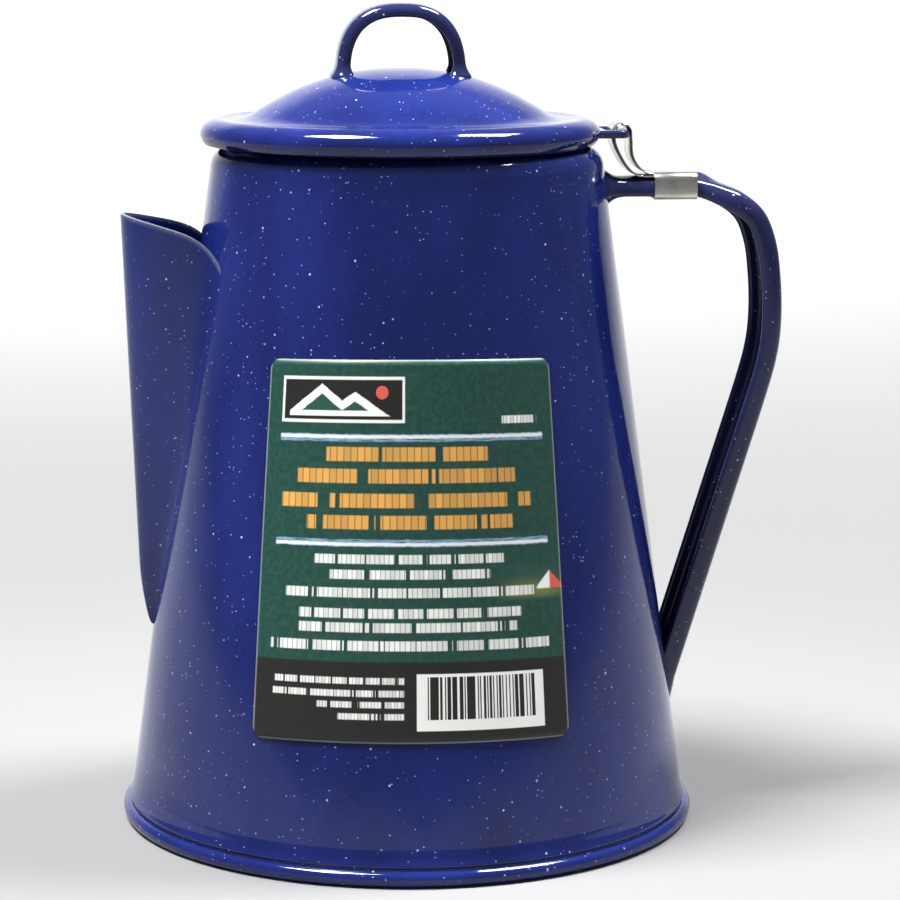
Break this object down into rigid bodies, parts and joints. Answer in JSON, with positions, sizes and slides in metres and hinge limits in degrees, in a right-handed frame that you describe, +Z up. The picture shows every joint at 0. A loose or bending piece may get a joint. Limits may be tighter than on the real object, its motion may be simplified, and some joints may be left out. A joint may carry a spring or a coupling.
{
  "type": "camping coffee percolator",
  "caption": "Speckled enamel camping percolator: tapered pot with V spout and strap handle, clip-hinged domed lid and a loose pump, basket and spreader inside.",
  "frame": {"origin": "centre of the flat underside, on the pot's axis", "axes": "+X towards the handle, -X towards the spout, +Z up"},
  "size_m": [0.1843, 0.1604, 0.2259],
  "materials": {
    "enamel": "gloss dark blue vitreous enamel with fine white speckles",
    "spring_steel": "bright rolled spring steel",
    "aluminium": "bare spun aluminium, satin",
    "label_paper": "coated paper label, printed dark green over black"
  },
  "bodies": {
    "pot": {"body_shell": "enamel", "base_pan": "enamel", "spout": "enamel", "handle": "enamel", "hinge_clip": "spring_steel", "label": "label_paper"},
    "lid": {"lid_shell": "enamel", "lid_skirt": "enamel", "lid_handle": "enamel", "lid_eye": "enamel"},
    "pump": {"pump_foot": "aluminium", "pump_tube": "aluminium", "basket_stop": "aluminium"},
    "basket": {"basket_cup": "aluminium", "basket_sleeve": "aluminium"},
    "spreader": {"spreader_plate": "aluminium"}
  },
  "joints": [
    {"name": "lid_hinge", "type": "hinge", "parent": "pot", "child": "lid", "pos_m": [0.0593, 0, 0.1904], "axis": [0, 1, 0], "range_deg": [0, 180]},
    {"name": "pump_lift", "type": "slide", "parent": "pot", "child": "pump", "axis": [0, 0, 1], "range_m": [0, 0.006]},
    {"name": "basket_lift", "type": "slide", "parent": "pump", "child": "basket", "axis": [0, 0, 1], "range_m": [0, 0.005]},
    {"name": "spreader_lift", "type": "slide", "parent": "basket", "child": "spreader", "axis": [0, 0, 1], "range_m": [0, 0.005]}
  ]
}
